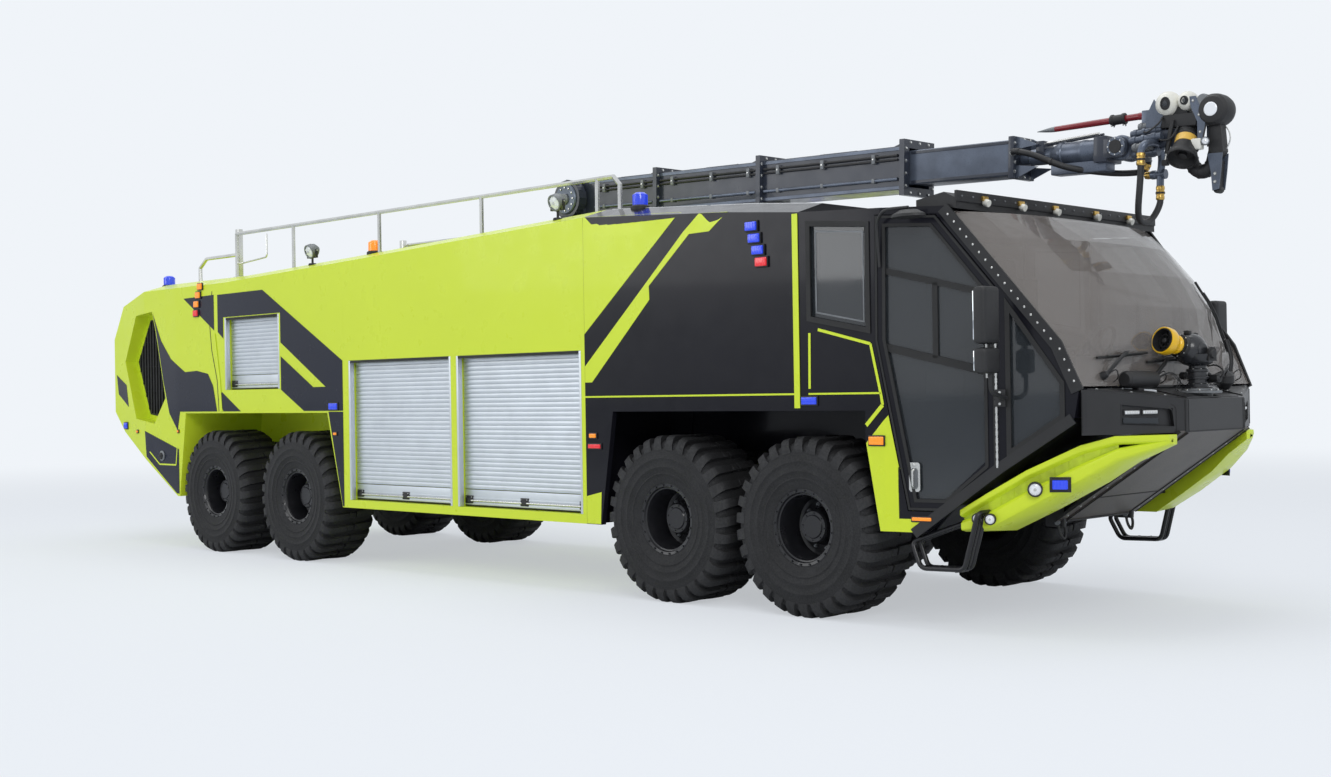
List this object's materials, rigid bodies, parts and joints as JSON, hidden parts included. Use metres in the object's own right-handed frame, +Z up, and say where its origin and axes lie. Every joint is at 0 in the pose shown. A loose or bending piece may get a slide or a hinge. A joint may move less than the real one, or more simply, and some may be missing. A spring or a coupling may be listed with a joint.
{
  "type": "airport fire truck",
  "caption": "Eight-wheel airport crash tender with a tapering glazed cab, roller-shutter lockers, a roof boom with a piercing nozzle and a bumper monitor.",
  "frame": {"origin": "on the ground, below the middle of the truck's length and width", "axes": "+X forward to the nose, +Y to the truck's left, +Z up"},
  "size_m": [13.9497, 3.6, 3.8632],
  "materials": {
    "lime_paint": "gloss",
    "black_paint": "gloss",
    "tyre_rubber": "matt",
    "chassis_steel": "satin",
    "cast_steel": "matt",
    "bare_aluminium": "satin",
    "tinted_glass": "gloss",
    "grey_trim": "matt",
    "yellow_paint": "gloss",
    "rubber_hose": "matt",
    "brown_paint": "matt"
  },
  "bodies": {
    "chassis": {"chassis_frame": "chassis_steel", "engine_block": "cast_steel", "axle_1": "chassis_steel", "axle_2": "chassis_steel", "axle_3": "chassis_steel", "axle_4": "chassis_steel", "body_front": "black_paint", "body_mid": "lime_paint", "body_rear": "lime_paint", "cab_shell": "black_paint", "cab_seats": "grey_trim", "dashboard": "grey_trim", "quarter_glass_l": "tinted_glass", "quarter_glass_r": "tinted_glass", "side_glass_l": "tinted_glass", "side_glass_r": "tinted_glass", "windscreen": "tinted_glass", "hood": "black_paint", "apron": "brown_paint", "bumper": "lime_paint", "header_visor": "black_paint", "handrail_l": "bare_aluminium", "handrail_r": "bare_aluminium", "mirror_l": "grey_trim", "mirror_r": "grey_trim", "shutter_1l": "bare_aluminium", "shutter_1r": "bare_aluminium", "shutter_2l": "bare_aluminium", "shutter_2r": "bare_aluminium", "shutter_3l": "bare_aluminium", "shutter_3r": "bare_aluminium"},
    "knuckle_1l": {"knuckle_1l": "cast_steel"},
    "knuckle_1r": {"knuckle_1r": "cast_steel"},
    "knuckle_2l": {"knuckle_2l": "cast_steel"},
    "knuckle_2r": {"knuckle_2r": "cast_steel"},
    "wheel_1l": {"wheel_1l": "tyre_rubber"},
    "wheel_1r": {"wheel_1r": "tyre_rubber"},
    "wheel_2l": {"wheel_2l": "tyre_rubber"},
    "wheel_2r": {"wheel_2r": "tyre_rubber"},
    "wheel_3l": {"wheel_3l": "tyre_rubber"},
    "wheel_3r": {"wheel_3r": "tyre_rubber"},
    "wheel_4l": {"wheel_4l": "tyre_rubber"},
    "wheel_4r": {"wheel_4r": "tyre_rubber"},
    "door_l": {"door_l": "black_paint", "door_glass_l": "tinted_glass"},
    "door_r": {"door_r": "black_paint", "door_glass_r": "tinted_glass"},
    "lift_bar_1l": {"lift_bar_1l": "bare_aluminium"},
    "lift_bar_1r": {"lift_bar_1r": "bare_aluminium"},
    "lift_bar_2l": {"lift_bar_2l": "bare_aluminium"},
    "lift_bar_2r": {"lift_bar_2r": "bare_aluminium"},
    "lift_bar_3l": {"lift_bar_3l": "bare_aluminium"},
    "lift_bar_3r": {"lift_bar_3r": "bare_aluminium"},
    "boom_turntable": {"boom_turntable": "chassis_steel"},
    "boom_outer": {"boom_outer": "chassis_steel"},
    "boom_inner": {"boom_inner": "chassis_steel"},
    "boom_head": {"boom_head": "grey_trim", "hose_loop": "rubber_hose"},
    "monitor_pan": {"monitor_pan": "cast_steel"},
    "monitor_nozzle": {"monitor_nozzle": "yellow_paint"}
  },
  "joints": [
    {"name": "steer_1l", "type": "hinge", "parent": "chassis", "child": "knuckle_1l", "pos_m": [4.215, 1.05, 0.68694], "axis": [0, 0, 1], "range_deg": [-16, 16]},
    {"name": "steer_1r", "type": "hinge", "parent": "chassis", "child": "knuckle_1r", "pos_m": [4.215, -1.05, 0.68694], "axis": [0, 0, 1], "range_deg": [-16, 16]},
    {"name": "steer_2l", "type": "hinge", "parent": "chassis", "child": "knuckle_2l", "pos_m": [2.755, 1.05, 0.68694], "axis": [0, 0, 1], "range_deg": [-12.8, 12.8]},
    {"name": "steer_2r", "type": "hinge", "parent": "chassis", "child": "knuckle_2r", "pos_m": [2.755, -1.05, 0.68694], "axis": [0, 0, 1], "range_deg": [-12.8, 12.8]},
    {"name": "roll_1l", "type": "hinge", "parent": "knuckle_1l", "child": "wheel_1l", "pos_m": [4.215, 1.25, 0.68694], "axis": [0, 1, 0], "continuous": true},
    {"name": "roll_1r", "type": "hinge", "parent": "knuckle_1r", "child": "wheel_1r", "pos_m": [4.215, -1.25, 0.68694], "axis": [0, 1, 0], "continuous": true},
    {"name": "roll_2l", "type": "hinge", "parent": "knuckle_2l", "child": "wheel_2l", "pos_m": [2.755, 1.25, 0.68694], "axis": [0, 1, 0], "continuous": true},
    {"name": "roll_2r", "type": "hinge", "parent": "knuckle_2r", "child": "wheel_2r", "pos_m": [2.755, -1.25, 0.68694], "axis": [0, 1, 0], "continuous": true},
    {"name": "roll_3l", "type": "hinge", "parent": "chassis", "child": "wheel_3l", "pos_m": [-2.792, 1.25, 0.68694], "axis": [0, 1, 0], "continuous": true},
    {"name": "roll_3r", "type": "hinge", "parent": "chassis", "child": "wheel_3r", "pos_m": [-2.792, -1.25, 0.68694], "axis": [0, 1, 0], "continuous": true},
    {"name": "roll_4l", "type": "hinge", "parent": "chassis", "child": "wheel_4l", "pos_m": [-4.469, 1.25, 0.68694], "axis": [0, 1, 0], "continuous": true},
    {"name": "roll_4r", "type": "hinge", "parent": "chassis", "child": "wheel_4r", "pos_m": [-4.469, -1.25, 0.68694], "axis": [0, 1, 0], "continuous": true},
    {"name": "open_door_l", "type": "hinge", "parent": "chassis", "child": "door_l", "pos_m": [5.875, 1.38918, 1.8], "axis": [0, 0, -1], "range_deg": [0, 75]},
    {"name": "open_door_r", "type": "hinge", "parent": "chassis", "child": "door_r", "pos_m": [5.875, -1.38918, 1.8], "axis": [0, 0, 1], "range_deg": [0, 75]},
    {"name": "raise_1l", "type": "slide", "parent": "chassis", "child": "lift_bar_1l", "axis": [0, 0, 1], "range_m": [0, 1.25], "deforming": ["shutter_1l"]},
    {"name": "raise_1r", "type": "slide", "parent": "chassis", "child": "lift_bar_1r", "axis": [0, 0, 1], "range_m": [0, 1.25], "deforming": ["shutter_1r"]},
    {"name": "raise_2l", "type": "slide", "parent": "chassis", "child": "lift_bar_2l", "axis": [0, 0, 1], "range_m": [0, 1.25], "deforming": ["shutter_2l"]},
    {"name": "raise_2r", "type": "slide", "parent": "chassis", "child": "lift_bar_2r", "axis": [0, 0, 1], "range_m": [0, 1.25], "deforming": ["shutter_2r"]},
    {"name": "raise_3l", "type": "slide", "parent": "chassis", "child": "lift_bar_3l", "axis": [0, 0, 1], "range_m": [0, 0.64], "deforming": ["shutter_3l"]},
    {"name": "raise_3r", "type": "slide", "parent": "chassis", "child": "lift_bar_3r", "axis": [0, 0, 1], "range_m": [0, 0.64], "deforming": ["shutter_3r"]},
    {"name": "boom_swing", "type": "hinge", "parent": "chassis", "child": "boom_turntable", "pos_m": [0.215, 0, 3.35], "axis": [0, 0, 1], "range_deg": [-25, 25]},
    {"name": "boom_lift", "type": "hinge", "parent": "boom_turntable", "child": "boom_outer", "pos_m": [0.215, 0, 3.665], "axis": [0, -1, 0], "range_deg": [0, 45]},
    {"name": "boom_extend", "type": "slide", "parent": "boom_outer", "child": "boom_inner", "axis": [0.9996, 0, -0.0279], "range_m": [0, 2.3]},
    {"name": "head_tilt", "type": "hinge", "parent": "boom_inner", "child": "boom_head", "pos_m": [6.14269, 0, 3.49943], "axis": [0, 1, 0], "range_deg": [0, 75]},
    {"name": "monitor_swivel", "type": "hinge", "parent": "chassis", "child": "monitor_pan", "pos_m": [6.675, 0, 1.7153], "axis": [0, 0, 1], "range_deg": [-15, 175]},
    {"name": "monitor_tilt", "type": "hinge", "parent": "monitor_pan", "child": "monitor_nozzle", "pos_m": [6.675, 0, 1.95], "axis": [-0.9848, -0.1736, 0], "range_deg": [-15, 60]}
  ],
  "couplings": [
    {"joint": "steer_1r", "follows": "steer_1l", "ratio": 1},
    {"joint": "steer_2l", "follows": "steer_1l", "ratio": 0.8},
    {"joint": "steer_2r", "follows": "steer_1l", "ratio": 0.8}
  ]
}
